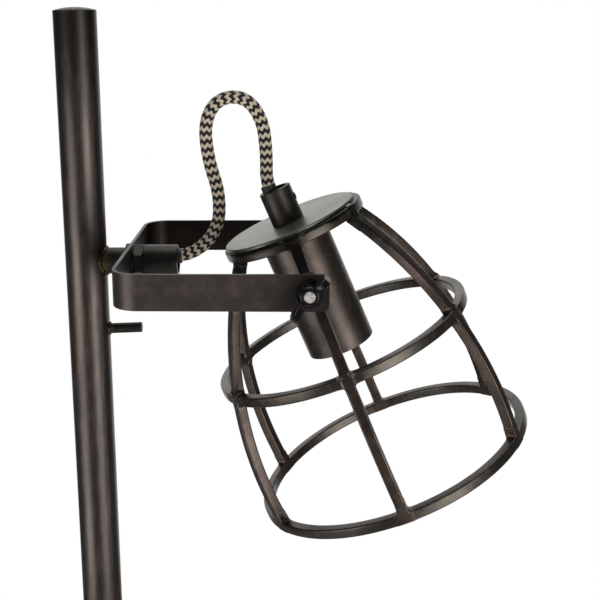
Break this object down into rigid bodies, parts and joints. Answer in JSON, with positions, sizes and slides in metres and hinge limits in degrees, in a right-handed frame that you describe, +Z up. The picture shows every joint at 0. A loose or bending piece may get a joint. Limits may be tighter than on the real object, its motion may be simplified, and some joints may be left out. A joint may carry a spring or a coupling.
{
  "type": "floor lamp",
  "caption": "Floor lamp with a round base and tall pole, a swivelling strap yoke and a tilting wire cage head round a lampholder sleeve, joined by a looped textile cord.",
  "frame": {"origin": "floor level under the base, on the pole's axis", "axes": "+Z up the pole, +X from the pole along the swivel axis towards the head, +Y across the yoke"},
  "size_m": [0.4135, 0.3, 1.4976],
  "materials": {
    "burnished_steel": "dark bronze-black satin burnished steel under clear coat",
    "disc_satin": "dark grey satin steel sheet that mirrors the light softly",
    "weld_heat": "straw-gold heat tinted weld bead",
    "black_steel": "glossy black coated steel",
    "zinc_steel": "dull zinc plated thread steel",
    "black_plastic": "matte black plastic",
    "rubber_pad": "black rubber",
    "textile_cord": "woven textile sheath in a black and beige zigzag",
    "lead_sheath": "plain black inner lead",
    "brass_shell": "bright brass",
    "nylon_liner": "natural nylon"
  },
  "bodies": {
    "stand": {"base_plate": "burnished_steel", "foot_pads": "rubber_pad", "base_washer": "zinc_steel", "base_bolt": "zinc_steel", "pole_foot": "zinc_steel", "pole_lower": "burnished_steel", "pole_upper": "burnished_steel", "pole_coupler": "zinc_steel", "pole_screws": "black_steel", "pole_cap": "burnished_steel", "base_gland": "black_plastic", "swivel_tube": "burnished_steel", "swivel_bush": "nylon_liner", "swivel_weld": "weld_heat", "stop_peg": "burnished_steel", "peg_weld": "weld_heat", "pole_lead": "lead_sheath"},
    "yoke": {"yoke_strap": "burnished_steel", "swivel_nipple": "zinc_steel", "swivel_clip": "zinc_steel", "swivel_washer": "burnished_steel", "lock_washer": "burnished_steel", "lock_nut": "burnished_steel", "yoke_grip": "burnished_steel", "yoke_grip_bush": "black_plastic", "yoke_grip_screw": "black_steel", "link_cord": "textile_cord"},
    "head": {"head_disc": "disc_satin", "head_nipple": "zinc_steel", "head_nut": "zinc_steel", "head_lead": "lead_sheath", "holder_sleeve": "burnished_steel", "head_grip": "burnished_steel", "head_grip_bush": "black_plastic", "head_grip_screw": "black_steel", "holder_cap": "black_plastic", "holder_body": "black_plastic", "lamp_shell": "brass_shell", "lamp_contact": "brass_shell", "rib_right_back": "burnished_steel", "rib_back": "burnished_steel", "rib_left_back": "burnished_steel", "rib_left_front": "burnished_steel", "rib_front": "burnished_steel", "rib_right_front": "burnished_steel", "cage_top_ring": "burnished_steel", "cage_bottom_ring": "burnished_steel", "cage_mid_ring": "burnished_steel", "cage_welds": "burnished_steel", "pivot_stud_front": "zinc_steel", "pivot_washer_front": "black_steel", "pivot_stud_back": "zinc_steel", "pivot_washer_back": "black_steel"},
    "wing_nut_front": {"wing_nut_front": "black_steel"},
    "wing_nut_back": {"wing_nut_back": "black_steel"}
  },
  "joints": [
    {"name": "yoke_swivel", "type": "hinge", "parent": "stand", "child": "yoke", "pos_m": [0, 0, 1.35], "axis": [1, 0, 0], "range_deg": [-70, 70]},
    {"name": "head_tilt", "type": "hinge", "parent": "yoke", "child": "head", "pos_m": [0.1325, 0, 1.35], "axis": [0, -1, 0], "range_deg": [-35, 35], "deforming": ["link_cord"]},
    {"name": "wing_nut_front_turn", "type": "hinge", "parent": "head", "child": "wing_nut_front", "pos_m": [0.1325, -0.08, 1.35], "axis": [0, -1, 0], "range_deg": [0, 180]},
    {"name": "wing_nut_back_turn", "type": "hinge", "parent": "head", "child": "wing_nut_back", "pos_m": [0.1325, 0.08, 1.35], "axis": [0, 1, 0], "range_deg": [0, 180]}
  ]
}
